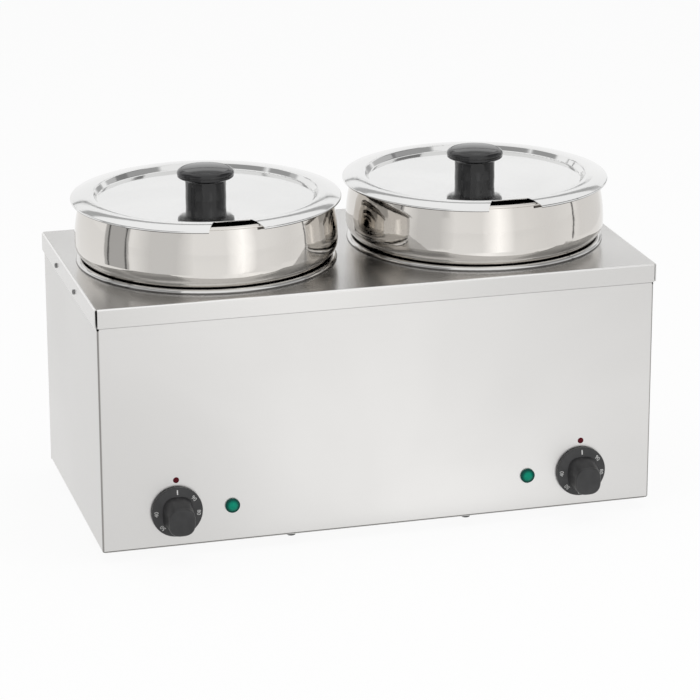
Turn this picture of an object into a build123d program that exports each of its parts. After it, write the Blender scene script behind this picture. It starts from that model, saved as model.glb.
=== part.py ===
from build123d import *
from math import asin, cos, radians, sin, sqrt
import os

# A two-pot electric bain marie, in millimetres. Z is up from the table, X runs along the
# front, and the front with its two knobs faces -Y. The origin is under the middle.

# Housing of folded stainless sheet
deck_width = 540.0
deck_depth = 270.0
housing_height = 236.0
skirt_height = 18.0
sheet = 1.0
bend_radius = 2.2
corner_relief = 2.6
lip_width = 20.0
plate_inset = 3.0
relief_hole_radius = 1.5

# Feet and fasteners
foot_height = 10.0
foot_top_radius = 13.0
foot_bottom_radius = 11.0
foot_inset = 52.0
foot_edge = 1.2
screw_radius = 2.0
screw_head_radius = 3.7
screw_head_height = 2.4
screw_crown = 1.0
low_head_radius = 3.3
low_head_height = 1.8
screw_reach = 5.0
nut_across_flats = 7.0
nut_thickness = 3.0
thread_end = 1.0
hole_clearance = 0.3
deck_screw_from_front = 100.0
deck_screw_pitch = 90.0
deck_screw_drop = 12.0
front_screw_x = 86.0
edge_screw_inset = 10.0
side_screw_pitch = 150.0
rear_screw_pitch = 80.0

# Bottom vents, in one group under each well
vent_length = 70.0
vent_width = 5.0
vent_pitch = 14.0
vent_count = 6

# Water wells
well_pitch = 267.0
well_from_front = 141.0
well_sheet = 1.0
bead_radius = 3.7
bead_outer_radius = 124.3
well_depth = 140.0
well_corner = 16.0
stud_radius = 3.0
stud_length = 20.0

# Inset pots
pot_sheet = 0.8
belly_radius = 125.2
shoulder_radius = 15.0
shoulder_lean = 35.0
neck_gap = 5.0
neck_fillet = 6.0
pot_depth = 118.0
pot_corner = 15.0
mouth_radius = 118.7
rim_height = 62.2
rim_bead_radius = 1.7
seat_gap = 0.3

# Lids with their ladle notches
lid_sheet = 0.9
lid_radius = 128.4
lid_crest_inner = 106.4
lid_crest_outer = 110.0
lid_recess_radius = 102.8
lid_recess_depth = 5.2
lid_fillet = 1.6
brim_lean = 20.0
hem_radius = 1.3
hem_turn = 80.0
notch_depth = 21.0
notch_inner_width = 35.0
notch_mouth_width = 55.0
notch_fillet = 2.0

# Lid knobs of black phenolic
lid_knob_height = 27.8
lid_knob_dome = 1.6
lid_knob_radius = 27.2
lid_knob_edge = 8.5
lid_knob_flare = 3.0
lid_stem_radius = 19.4
lid_screw_radius = 2.5
lid_screw_depth = 12.0
lid_screw_head_radius = 5.0
lid_screw_head_height = 3.5
lid_washer_radius = 9.0
lid_washer_thickness = 1.5

# Thermostat controls
knob_from_end = 72.5
control_height = 35.0
knob_radius = 24.2
knob_gap = 1.2
knob_rim = 3.0
knob_cone = 2.0
knob_cone_radius = 15.0
knob_recess_radius = 21.0
knob_recess_depth = 2.2
knob_hub_radius = 6.5
grip_length = 19.5
grip_base_width = 23.0
grip_base_height = 39.0
grip_front_width = 17.0
grip_front_height = 33.0
grip_corner = 5.0
grip_edge = 1.8
pointer_groove = 1.6
shaft_radius = 3.0
shaft_flat = 1.2
shaft_in_knob = 15.0
shaft_in_body = 12.0
shaft_end_gap = 0.5
running_clearance = 0.05
thermostat_width = 46.0
thermostat_height = 38.0
thermostat_depth = 32.0
thermostat_plate = 2.0
thermostat_case_inset = 2.0
capillary_boss_radius = 3.0
capillary_boss_length = 4.0
capillary_side = 11.0
capillary_drop = 10.0
thermostat_screw_pitch = 28.0
bushing_radius = 5.0

# Pilot lamps
lamp_from_knob = 53.1
lamp_flange_radius = 7.0
lamp_flange = 1.4
lamp_dome_radius = 5.2
lamp_dome = 1.8
lamp_bevel = 0.4
lamp_radius = 5.9
lamp_length = 24.0
lamp_clip_radius = 9.0
lamp_clip_sheet = 0.8
lamp_tab_width = 2.8
lamp_tab_length = 6.0

# Heaters under the wells
heater_ring_radius = 76.0
heater_radius = 4.0
heater_gap_angle = 44.0
heater_bend = 10.0
heater_leg = 16.0
clamp_radius = 84.0
clamp_thickness = 2.0
heater_nut_across_flats = 10.0
heater_nut_thickness = 5.0
fit_gap = 0.1
cutout_radius = 9.0
cutout_height = 8.0
cutout_flange_radius = 13.0
cutout_flange = 1.6
cutout_offset = 42.0
bulb_radius = 3.0
bulb_length = 62.0
bulb_offset = 36.0
capillary_radius = 1.0
capillary_bend = 12.0
clip_width = 14.0
clip_sheet = 1.0
clip_foot = 8.0

# Blade terminals on the thermostats, cutouts and lamps
blade_thickness = 0.8
blade_width = 6.0
blade_length = 8.0
blade_root = 1.0

# Mains entry and terminals
gland_height = 45.0
gland_from_end = 80.0
gland_thread_radius = 8.0
gland_across_flats = 22.0
gland_flange = 5.0
gland_nut_length = 13.0
gland_nut_radius = 10.4
gland_tip_radius = 7.5
gland_tip_edge = 2.0
gland_bore_radius = 4.2
gland_tail = 8.0
locknut_thickness = 4.0
terminal_length = 60.0
terminal_width = 22.0
terminal_height = 16.0
terminal_ways = 5
terminal_wall = 1.7
terminal_sill = 5.0
terminal_pocket = 6.4
terminal_screw_radius = 2.2
terminal_screw_sink = 1.0
terminal_from_rear = 70.0
earth_x = 60.0

# Levels and planes worked out from the sizes above
plate_z = foot_height
floor_z = plate_z + sheet
deck_z = floor_z + housing_height
deck_underside = deck_z - sheet
skirt_offset = bend_radius
knob_reach = knob_gap + knob_rim + knob_cone + grip_length - skirt_offset
gland_reach = gland_flange + gland_nut_length - skirt_offset
front_y = (knob_reach - gland_reach - deck_depth) / 2
shell_half = deck_width / 2 - skirt_offset
shell_front = front_y + skirt_offset
rear_y = front_y + deck_depth - skirt_offset
shell_back = rear_y - sheet
well_y = front_y + well_from_front
control_z = floor_z + control_height
knob_x = deck_width / 2 - knob_from_end
lamp_x = knob_x - lamp_from_knob
gland_x = deck_width / 2 - gland_from_end
sides = {"left": -1, "right": 1}


def box_between(low, high):
    """Block with its lowest and highest corners given."""
    size = [b - a for a, b in zip(low, high)]
    middle = [(a + b) / 2 for a, b in zip(low, high)]
    return Pos(*middle) * Box(*size)


def rod_y(x, y0, y1, z, radius):
    """Round bar along Y."""
    return Pos(x, (y0 + y1) / 2, z) * Rot(X=90) * Cylinder(radius, abs(y1 - y0))


def rod_x(x0, x1, y, z, radius):
    """Round bar along X."""
    return Pos((x0 + x1) / 2, y, z) * Rot(Y=90) * Cylinder(radius, abs(x1 - x0))


def rod_z(x, y, z0, z1, radius):
    """Round bar along Z."""
    return Pos(x, y, (z0 + z1) / 2) * Cylinder(radius, abs(z1 - z0))


def turned(face):
    """Solid of revolution about Z from a face drawn in radius and height."""
    return revolve(Plane.XZ * face, Axis.Z)


def dome_arc(radius, z, rise):
    """Arc over the axis from a rim up to its crown, part of a sphere."""
    ball = (radius ** 2 + rise ** 2) / (2 * rise)
    half_angle = asin(radius / ball) / 2
    middle = (ball * sin(half_angle), z + rise - ball + ball * cos(half_angle))
    return ThreePointArc((radius, z), middle, (0, z + rise))


def sheet_section(path, thickness):
    """Section of a sheet: one surface follows the path and the metal lies on its left."""
    return make_face(path.offset_2d(thickness, side=Side.LEFT, closed=True))


def pan_screw(radius, reach, head_radius, head_height):
    """Pan-head screw pointing down -Z, with the underside of its head at the origin."""
    outline = Polyline(
        (0, -reach), (radius, -reach), (radius, 0), (head_radius, 0),
        (head_radius, head_height), (0, head_height), close=True)
    screw = turned(make_face(outline))
    crown = screw.edges().filter_by(GeomType.CIRCLE).sort_by(Axis.Z)[-1]
    return fillet(crown, screw_crown)


def hex_nut(across_flats, thickness, bore_radius):
    """Hexagon nut standing on the origin, bored through."""
    nut = extrude(RegularPolygon(across_flats / 2, 6, major_radius=False), thickness)
    return nut - rod_z(0, 0, -thickness, 2 * thickness, bore_radius)


def shell_tray(inset, radius, top):
    """Block of the housing's shape, moved in by a wall and rounded at its folds."""
    tray = box_between(
        (-shell_half + inset, shell_front + inset, floor_z + inset),
        (shell_half - inset, shell_back - inset, top))
    upright = tray.edges().filter_by(Axis.Z).group_by(Axis.Y)[0]
    base = tray.faces().sort_by(Axis.Z)[0].edges().sort_by(Axis.Y)[:3]
    return fillet(list(upright) + list(base), radius)


def rear_screw_places():
    """Rear panel screws, in a column down each side flange."""
    middle = (floor_z + deck_z - skirt_height) / 2
    x = shell_half - edge_screw_inset
    return [(side * x, middle + step * rear_screw_pitch) for side in (-1, 1) for step in (-1, 0, 1)]


def bottom_screw_places():
    """Bottom plate screws: two along the front, two along the rear and two down each side."""
    middle = (shell_front + rear_y) / 2
    front = [(side * front_screw_x, shell_front + edge_screw_inset) for side in (-1, 1)]
    rear = [(side * front_screw_x, rear_y - edge_screw_inset) for side in (-1, 1)]
    x = shell_half - edge_screw_inset
    ends = [(side * x, middle + step * side_screw_pitch / 2) for side in (-1, 1) for step in (-1, 1)]
    return front + rear + ends


def deck_screw_places():
    """Screws through the two end skirts of the deck, measured from the front."""
    near = front_y + deck_screw_from_front
    return [(side, y) for side in (-1, 1) for y in (near, near + deck_screw_pitch)]


def foot_places():
    """Feet near the four corners, named for where they stand."""
    x = shell_half - foot_inset
    return {
        f"foot_{row}_{name}": (side * x, y)
        for row, y in (("front", shell_front + foot_inset), ("rear", rear_y - foot_inset))
        for name, side in sides.items()}


def body_shell():
    """Front and both ends folded from one sheet, with lips under and behind."""
    shell = shell_tray(0, bend_radius, deck_underside)
    shell -= shell_tray(sheet, bend_radius - sheet, deck_z + sheet)
    inner = shell_half - lip_width
    shell -= box_between((-inner, shell_front + lip_width, floor_z - sheet),
                         (inner, rear_y, floor_z + 2 * sheet))
    shell -= box_between((-inner, shell_back - 2 * sheet, floor_z - sheet),
                         (inner, rear_y, deck_z))
    hole = screw_radius + hole_clearance
    for x, z in rear_screw_places():
        shell -= rod_y(x, shell_back - 2 * sheet, rear_y, z, hole)
    for x, y in bottom_screw_places():
        shell -= rod_z(x, y, floor_z - sheet, floor_z + 2 * sheet, hole)
    for side, y in deck_screw_places():
        x = side * shell_half
        shell -= rod_x(x - 3 * sheet, x + 3 * sheet, y, deck_z - deck_screw_drop, hole)
    for side in sides.values():
        through = (shell_front - sheet, shell_front + 2 * sheet)
        shell -= rod_y(side * knob_x, *through, control_z, bushing_radius + hole_clearance)
        shell -= rod_y(side * lamp_x, *through, control_z, lamp_radius + hole_clearance)
        for step in (-1, 1):
            x = side * knob_x + step * thermostat_screw_pitch / 2
            shell -= rod_y(x, *through, control_z, hole)
        corner = Pos(side * shell_half, shell_front, deck_z - skirt_height - relief_hole_radius)
        drill = Rot(Z=side * 45) * Rot(X=90) * Cylinder(relief_hole_radius, 4 * bend_radius)
        shell -= corner * drill
    return shell


def rear_panel():
    """Flat back screwed on the end flanges, with a lip folded in under it."""
    panel = box_between((-shell_half, shell_back, floor_z), (shell_half, rear_y, deck_underside))
    lip_half = shell_half - lip_width - sheet
    panel += box_between((-lip_half, rear_y - lip_width, floor_z), (lip_half, rear_y, floor_z + sheet))
    hole = screw_radius + hole_clearance
    for x, z in rear_screw_places():
        panel -= rod_y(x, shell_back - sheet, rear_y + sheet, z, hole)
    for x, y in bottom_screw_places():
        panel -= rod_z(x, y, floor_z - sheet, floor_z + 2 * sheet, hole)
    gland_z = floor_z + gland_height
    gland_hole = gland_thread_radius + hole_clearance
    return panel - rod_y(gland_x, shell_back - sheet, rear_y + sheet, gland_z, gland_hole)


def bottom_plate():
    """Flat floor screwed up against the lips, slotted for air under each well."""
    half = shell_half - plate_inset
    plate = box_between((-half, shell_front + plate_inset, plate_z),
                        (half, rear_y - plate_inset, floor_z))
    hole = screw_radius + hole_clearance
    through = (plate_z - sheet, floor_z + sheet)
    places = bottom_screw_places() + list(foot_places().values()) + [(earth_x, terminal_y())]
    for x, y in places:
        plate -= rod_z(x, y, *through, hole)
    slot = Rot(Z=90) * SlotOverall(vent_length, vent_width)
    for side in sides.values():
        for i in range(vent_count):
            x = side * well_pitch / 2 + (i - (vent_count - 1) / 2) * vent_pitch
            plate -= Pos(x, well_y, plate_z - sheet) * extrude(slot, 3 * sheet)
    return plate


def deck_tray(inset, radius, bottom):
    """Block of the deck's shape, moved in by the sheet and rounded along its top folds."""
    half = deck_width / 2 - inset
    tray = box_between((-half, front_y + inset, bottom),
                       (half, front_y + deck_depth - inset, deck_z - inset))
    return fillet(tray.faces().sort_by(Axis.Z)[-1].edges(), radius)


def top_deck():
    """Deck sheet with a skirt folded down all round, its corners relieved and left open."""
    skirt_z = deck_z - skirt_height
    deck = deck_tray(0, bend_radius, skirt_z)
    deck -= deck_tray(sheet, bend_radius - sheet, skirt_z - sheet)
    half = deck_width / 2
    for x in (-half, half):
        for y in (front_y, front_y + deck_depth):
            deck -= Pos(x, y, deck_z) * Box(2 * corner_relief, 2 * corner_relief, 3 * skirt_height)
    opening = well_radius() + well_sheet + 2 * hole_clearance
    for side in sides.values():
        deck -= rod_z(side * well_pitch / 2, well_y, deck_z - 3 * sheet, deck_z + sheet, opening)
    hole = screw_radius + hole_clearance
    for side, y in deck_screw_places():
        x = side * half
        deck -= rod_x(x - 3 * sheet, x + 3 * sheet, y, deck_z - deck_screw_drop, hole)
    return deck


def deck_screws():
    """Pan-head screws that hold the end skirts to the housing."""
    screw = pan_screw(screw_radius, 2 * skirt_offset + screw_reach, screw_head_radius, screw_head_height)
    z = deck_z - deck_screw_drop
    return [Pos(side * deck_width / 2, y, z) * Rot(Y=side * 90) * screw for side, y in deck_screw_places()]


def rear_panel_screws():
    """Pan-head screws through the rear panel into the end flanges."""
    screw = pan_screw(screw_radius, 2 * sheet + screw_reach, screw_head_radius, screw_head_height)
    return [Pos(x, rear_y, z) * Rot(X=-90) * screw for x, z in rear_screw_places()]


def bottom_plate_screws():
    """Pan-head screws up through the bottom plate into the lips."""
    screw = pan_screw(screw_radius, 2 * sheet + screw_reach, screw_head_radius, screw_head_height)
    return [Pos(x, y, plate_z) * Rot(X=180) * screw for x, y in bottom_screw_places()]


def foot():
    """Moulded rubber foot, tapered, with a deep recess for its screw."""
    outline = Polyline((0, 0), (foot_bottom_radius, 0), (foot_top_radius, foot_height),
                       (0, foot_height), close=True)
    body = turned(make_face(outline))
    rim = body.edges().filter_by(GeomType.CIRCLE).sort_by(Axis.Z)[0]
    body = fillet(rim, foot_edge)
    body -= rod_z(0, 0, -1, foot_screw_seat(), screw_head_radius + 2 * hole_clearance)
    return body - rod_z(0, 0, 0, 2 * foot_height, screw_radius + hole_clearance)


def foot_screw_seat():
    """Height in a foot at which its screw head bears."""
    return foot_height / 2


def foot_screws():
    """Screws from inside the feet up through the bottom plate."""
    reach = foot_height - foot_screw_seat() + sheet + nut_thickness + thread_end
    screw = pan_screw(screw_radius, reach, screw_head_radius, screw_head_height)
    return [Pos(x, y, foot_screw_seat()) * Rot(X=180) * screw for x, y in foot_places().values()]


def foot_nuts():
    """Nuts on the foot screws, inside the housing."""
    nut = hex_nut(nut_across_flats, nut_thickness, screw_radius + running_clearance)
    return [Pos(x, y, floor_z) * nut for x, y in foot_places().values()]


def well_radius():
    """Inner radius of the well's wall, at the inner foot of its bead."""
    return bead_outer_radius - 2 * bead_radius


def water_well():
    """Deep-drawn well: a half-round bead standing on the deck, a straight wall and a rounded floor."""
    bead_mid = bead_outer_radius - bead_radius
    bead = ThreePointArc((bead_outer_radius, 0), (bead_mid, bead_radius), (well_radius(), 0))
    basin = FilletPolyline(
        (well_radius(), 0), (well_radius(), -well_depth), (0, -well_depth), radius=well_corner)
    well = turned(sheet_section(Wire(bead.edges() + basin.edges()), well_sheet))
    underside = -well_depth - well_sheet
    return well + rod_z(0, 0, underside - stud_length, underside + well_sheet / 2, stud_radius)


def shoulder_z(radius):
    """Height of the pot's leaning shoulder at one radius, where it rests on the well's bead."""
    lean = radians(shoulder_lean)
    bead_mid = bead_outer_radius - bead_radius
    return ((radius - bead_mid) * cos(lean) + bead_radius + seat_gap) / sin(lean)


def inset_pot():
    """Spun pot: a straight part in the water, a shoulder on the bead, a wide belly and a rolled rim."""
    neck = well_radius() - neck_gap
    lean = radians(shoulder_lean)
    turn = belly_radius - shoulder_radius * (1 - cos(lean))
    turn_z = shoulder_z(turn)
    belly_z = turn_z + shoulder_radius * sin(lean)
    rim_mid = rim_height - rim_bead_radius
    lower = FilletPolyline((0, -pot_depth), (neck, -pot_depth), (neck, shoulder_z(neck)), (turn, turn_z),
                           radius=[pot_corner, neck_fillet])
    shoulder = TangentArc((turn, turn_z), (belly_radius, belly_z), tangent=(sin(lean), cos(lean)))
    belly = TangentArc((belly_radius, belly_z), (mouth_radius, rim_mid), tangent=(0, 1))
    wall = sheet_section(Wire(lower.edges() + shoulder.edges() + belly.edges()), pot_sheet)
    return turned(wall + Pos(mouth_radius, rim_mid) * Circle(rim_bead_radius))


def brim_radius():
    """Radius of the arc in which the lid's brim falls from its crest to its hem."""
    lean = sin(radians(brim_lean))
    return (lid_radius - hem_radius * (1 - lean) - lid_crest_outer) / lean


def lid_crest_z():
    """Height of the lid's crest, with its brim just clear of the pot's rolled rim."""
    reach = brim_radius() - lid_sheet - seat_gap - rim_bead_radius
    rise = sqrt(reach ** 2 - (mouth_radius - lid_crest_outer) ** 2)
    return rim_height - rim_bead_radius + brim_radius() - rise


def lid_floor_z():
    """Height of the flat in the middle of the lid."""
    return lid_crest_z() - lid_recess_depth


def brim_point(angle):
    """Point of the brim's arc at an angle from its crest."""
    return (lid_crest_outer + brim_radius() * sin(radians(angle)),
            lid_crest_z() - brim_radius() * (1 - cos(radians(angle))))


def pot_lid():
    """Pressed lid: a sunk flat, a raised ring, a convex brim rolled under at its edge, and a notch."""
    crest = lid_crest_z()
    hem_r = lid_radius - hem_radius
    hem_z = brim_point(brim_lean)[1] - hem_radius * cos(radians(brim_lean))
    hem_end = (hem_r + hem_radius * cos(radians(hem_turn)), hem_z - hem_radius * sin(radians(hem_turn)))
    hem = ThreePointArc(hem_end, (lid_radius, hem_z), brim_point(brim_lean))
    brim = ThreePointArc(brim_point(brim_lean), brim_point(brim_lean / 2), brim_point(0))
    middle = FilletPolyline(
        brim_point(0), (lid_crest_inner, crest), (lid_recess_radius, lid_floor_z()), (0, lid_floor_z()),
        radius=lid_fillet)
    lid = turned(sheet_section(Wire(hem.edges() + brim.edges() + middle.edges()), lid_sheet))
    inner_y = notch_depth - lid_radius
    flare = (notch_mouth_width - notch_inner_width) / (2 * notch_depth)
    beyond = notch_depth / 2
    outer_half = notch_mouth_width / 2 + flare * beyond
    outline = Polyline(
        (-notch_inner_width / 2, inner_y), (notch_inner_width / 2, inner_y),
        (outer_half, -lid_radius - beyond), (-outer_half, -lid_radius - beyond), close=True)
    notch = extrude(make_face(outline), crest + lid_recess_depth)
    corners = notch.edges().filter_by(Axis.Z).group_by(Axis.Y)[-1]
    lid -= fillet(corners, notch_fillet)
    return lid - rod_z(0, 0, 0, crest, lid_screw_radius + hole_clearance)


def lid_knob():
    """Phenolic mushroom knob standing on the lid, bored for its screw."""
    base = lid_floor_z()
    under = lid_knob_height - lid_knob_edge
    mid = lid_knob_height - lid_knob_edge / 2
    waist = lid_stem_radius
    stem = Polyline((0, 0), (waist, 0), (waist, under - lid_knob_flare))
    flare = TangentArc((waist, under - lid_knob_flare), (lid_knob_radius - lid_knob_edge / 2, under),
                       tangent=(0, 1))
    edge = ThreePointArc(
        (lid_knob_radius - lid_knob_edge / 2, under), (lid_knob_radius, mid),
        (lid_knob_radius - lid_knob_edge / 2, lid_knob_height))
    top = dome_arc(lid_knob_radius - lid_knob_edge / 2, lid_knob_height, lid_knob_dome)
    axis = Line((0, lid_knob_height + lid_knob_dome), (0, 0))
    outline = Wire(stem.edges() + flare.edges() + edge.edges() + top.edges() + axis.edges())
    knob = Pos(0, 0, base) * turned(make_face(outline))
    hole_end = base + lid_screw_depth + thread_end
    return knob - rod_z(0, 0, base - lid_sheet, hole_end, lid_screw_radius + running_clearance)


def lid_screw():
    """Screw and its broad washer head, up through the lid into the knob."""
    under = lid_floor_z() - lid_sheet
    head = pan_screw(lid_screw_radius, lid_screw_depth + lid_sheet + lid_washer_thickness,
                     lid_screw_head_radius, lid_screw_head_height)
    washer = rod_z(0, 0, under - lid_washer_thickness, under, lid_washer_radius)
    return washer + Pos(0, 0, under - lid_washer_thickness) * Rot(X=180) * head


def heater_centre_z():
    """Height of the heating tube's centre line, under the well."""
    return -well_depth - well_sheet - fit_gap - heater_radius


def heating_element():
    """Tubular heater bent to an open ring, with both ends turned down as terminals."""
    z = heater_centre_z()
    half_gap = heater_gap_angle / 2
    start = 90 + half_gap
    ring = CenterArc((0, 0, z), heater_ring_radius, start, 360 - heater_gap_angle)
    legs = []
    for point, heading in ((ring @ 0, -(ring % 0)), (ring @ 1, ring % 1)):
        turn_end = point + heading * heater_bend - Vector(0, 0, heater_bend)
        legs.append(TangentArc(point, turn_end, tangent=heading))
        legs.append(Line(turn_end, turn_end - Vector(0, 0, heater_leg)))
    path = Wire(legs[1].edges() + legs[0].edges() + ring.edges() + legs[2].edges() + legs[3].edges())
    section = Plane(origin=path @ 0, z_dir=path % 0) * Circle(heater_radius)
    return sweep(section, path)


def clamp_top_z():
    """Top of the clamp plate, against the heating tube."""
    return heater_centre_z() - heater_radius - fit_gap


def heater_clamp():
    """Round plate that presses the ring heater up to the well, cut away round the terminals."""
    top = clamp_top_z()
    plate = rod_z(0, 0, top - clamp_thickness, top, clamp_radius)
    plate -= rod_z(0, 0, top - 2 * clamp_thickness, top + clamp_thickness, stud_radius + hole_clearance)
    gap_half = heater_ring_radius * sin(radians(heater_gap_angle / 2)) + 2 * heater_radius
    depth = clamp_radius - heater_ring_radius * cos(radians(heater_gap_angle / 2)) + 4 * heater_radius
    notch_y = clamp_radius - depth
    return plate - box_between((-gap_half, notch_y, top - 2 * clamp_thickness),
                               (gap_half, 2 * clamp_radius, top + clamp_thickness))


def heater_nut():
    """Nut on the well's stud, holding the clamp plate."""
    bottom = clamp_top_z() - clamp_thickness - heater_nut_thickness
    nut = hex_nut(heater_nut_across_flats, heater_nut_thickness, stud_radius + running_clearance)
    return Pos(0, 0, bottom) * nut


def safety_cutout():
    """Bimetal over-temperature cutout under the clamp plate, with two blade terminals."""
    top = clamp_top_z() - clamp_thickness
    body = rod_z(0, 0, top - cutout_flange, top, cutout_flange_radius)
    low = top - cutout_flange - cutout_height
    body += rod_z(0, 0, low, top - cutout_flange, cutout_radius)
    for step in (-1, 1):
        x = step * cutout_radius / 2
        body += box_between((x - blade_thickness / 2, -blade_width / 2, low - blade_length),
                            (x + blade_thickness / 2, blade_width / 2, low + blade_root))
    return Pos(0, -cutout_offset, 0) * body


def bulb_z():
    """Height of the bulb's centre line, against the clamp plate."""
    return clamp_top_z() - clamp_thickness - fit_gap - bulb_radius


def thermostat_bulb(side):
    """Liquid-filled bulb and the capillary tube that runs from it to the thermostat."""
    x0 = side * well_pitch / 2 - side * bulb_length / 2
    x1 = x0 + side * bulb_length
    y = well_y + bulb_offset
    z = deck_z + bulb_z()
    bulb = rod_x(x0, x1, y, z, bulb_radius)
    start_x = x1 - side * capillary_radius
    drop_x = side * (knob_x + capillary_side)
    end_y = shell_front + sheet + thermostat_depth + capillary_boss_length
    drop_y = end_y + 2 * capillary_bend
    end_z = control_z - capillary_drop
    path = FilletPolyline(
        (start_x, y, z), (drop_x, y, z), (drop_x, drop_y, z), (drop_x, drop_y, end_z),
        (drop_x, end_y, end_z), radius=capillary_bend)
    section = Plane(origin=path @ 0, z_dir=path % 0) * Circle(capillary_radius)
    return bulb + sweep(section, path)


def bulb_clip():
    """Spring-steel saddle that holds the bulb up against the clamp plate."""
    z = bulb_z()
    top = clamp_top_z() - clamp_thickness
    inner = bulb_radius + fit_gap
    outer = inner + clip_sheet
    saddle = rod_x(-clip_width / 2, clip_width / 2, 0, z, outer)
    saddle += box_between((-clip_width / 2, -outer, z), (clip_width / 2, outer, top))
    saddle += box_between((-clip_width / 2, -outer - clip_foot, top - clip_sheet),
                          (clip_width / 2, outer + clip_foot, top))
    saddle -= rod_x(-clip_width, clip_width, 0, z, inner)
    saddle -= box_between((-clip_width, -inner, z), (clip_width, inner, top + 1))
    return Pos(0, bulb_offset, 0) * saddle


def thermostat(side):
    """Thermostat body behind the panel, with the bushing that carries its shaft."""
    back = shell_front + sheet
    case_front = back + thermostat_plate
    case_back = back + thermostat_depth
    half_w = thermostat_width / 2
    half_h = thermostat_height / 2
    inset = thermostat_case_inset
    body = box_between((-half_w, back, -half_h), (half_w, case_front, half_h))
    case = box_between((-half_w + inset, case_front, -half_h + inset),
                       (half_w - inset, case_back, half_h - inset))
    body += fillet(case.edges().filter_by(Axis.Y), inset)
    body += rod_y(side * capillary_side, case_back - blade_root, case_back + capillary_boss_length,
                  -capillary_drop, capillary_boss_radius)
    body += rod_y(0, shell_front, back, 0, bushing_radius)
    for step in (-1, 1):
        x = step * thermostat_width / 4
        body += box_between((x - blade_width / 2, case_back - blade_root, -blade_thickness / 2),
                            (x + blade_width / 2, case_back + blade_length, blade_thickness / 2))
        screw_x = step * thermostat_screw_pitch / 2
        hole_end = back + screw_reach + thread_end
        body -= rod_y(screw_x, shell_front, hole_end, 0, screw_radius + running_clearance)
    bore_end = back + shaft_in_body + seat_gap
    return body - rod_y(0, shell_front - sheet, bore_end, 0, shaft_radius + running_clearance)


def thermostat_screws():
    """Two screws through the panel into the thermostat, hidden behind the knob."""
    screw = pan_screw(screw_radius, sheet + screw_reach, low_head_radius, low_head_height)
    pitch = thermostat_screw_pitch
    return [Pos(step * pitch / 2, shell_front, 0) * Rot(X=90) * screw for step in (-1, 1)]


def knob_back():
    """Plane of the knob's back edge, in front of the panel."""
    return shell_front - knob_gap


def thermostat_shaft():
    """Round spindle with a flat, from inside the thermostat into the knob."""
    back = shell_front + sheet + shaft_in_body
    front = knob_back() - shaft_in_knob
    shaft = rod_y(0, back, front, 0, shaft_radius)
    flat = box_between((-shaft_radius, front - shaft_radius, shaft_radius - shaft_flat),
                       (shaft_radius, knob_back(), 2 * shaft_radius))
    return shaft - flat


def grip_section(width, height, y):
    """Rounded outline of the knob's grip at one depth."""
    facing = Plane((0, y, 0), x_dir=(1, 0, 0), z_dir=(0, -1, 0))
    return facing * RectangleRounded(width, height, grip_corner)


def control_knob():
    """Moulded knob: a round skirt for the numbers and a tapered bar to grip."""
    outline = Polyline(
        (0, 0), (knob_hub_radius, 0), (knob_hub_radius, knob_recess_depth),
        (knob_recess_radius, knob_recess_depth), (knob_recess_radius, 0), (knob_radius, 0),
        (knob_radius, knob_rim), (knob_cone_radius, knob_rim + knob_cone), (0, knob_rim + knob_cone),
        close=True)
    skirt = turned(make_face(outline))
    outer = skirt.edges().filter_by(GeomType.CIRCLE).group_by(SortBy.RADIUS)[-1]
    skirt = fillet(outer.sort_by(Axis.Z)[-1], knob_rim / 3)
    step_y = -knob_rim - knob_cone
    tip_y = step_y - grip_length
    grip = loft([grip_section(grip_base_width, grip_base_height, -knob_rim),
                 grip_section(grip_front_width, grip_front_height, tip_y)])
    grip = fillet(grip.faces().sort_by(Axis.Y)[0].edges(), grip_edge)
    knob = Rot(X=90) * skirt + grip
    knob -= rod_y(0, tip_y - grip_edge, step_y, grip_front_height / 2, pointer_groove)
    bore = rod_y(0, grip_edge, -shaft_in_knob - shaft_end_gap, 0, shaft_radius + running_clearance)
    bore -= box_between(
        (-knob_radius, -grip_length, shaft_radius - shaft_flat + running_clearance),
        (knob_radius, 0, knob_radius))
    return Pos(0, knob_back(), 0) * (knob - bore)


def lamp_lens():
    """Green lens with a domed front, its spigot in the panel's hole."""
    flange = Line((lamp_flange_radius, 0), (lamp_flange_radius, lamp_flange))
    dome_z = lamp_flange + lamp_bevel
    slope = Line((lamp_flange_radius, lamp_flange), (lamp_dome_radius, dome_z))
    dome = dome_arc(lamp_dome_radius, dome_z, lamp_dome)
    rest = Polyline((0, dome_z + lamp_dome), (0, -sheet), (lamp_radius, -sheet),
                    (lamp_radius, 0), (lamp_flange_radius, 0))
    outline = Wire(flange.edges() + slope.edges() + dome.edges() + rest.edges())
    return Pos(0, shell_front, 0) * Rot(X=90) * turned(make_face(outline))


def lamp_body():
    """Lamp holder behind the panel, with two blade terminals."""
    back = shell_front + sheet
    end = back + lamp_length
    body = rod_y(0, back, end, 0, lamp_radius)
    for step in (-1, 1):
        x = step * lamp_radius / 2
        body += box_between((x - blade_thickness / 2, end - blade_root, -lamp_tab_width / 2),
                            (x + blade_thickness / 2, end + lamp_tab_length, lamp_tab_width / 2))
    return body


def lamp_clip():
    """Push-on ring that grips the lamp holder against the panel."""
    back = shell_front + sheet
    ring = rod_y(0, back, back + lamp_clip_sheet, 0, lamp_clip_radius)
    return ring - rod_y(0, shell_front, back + 2 * lamp_clip_sheet, 0, lamp_radius + running_clearance)


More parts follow.
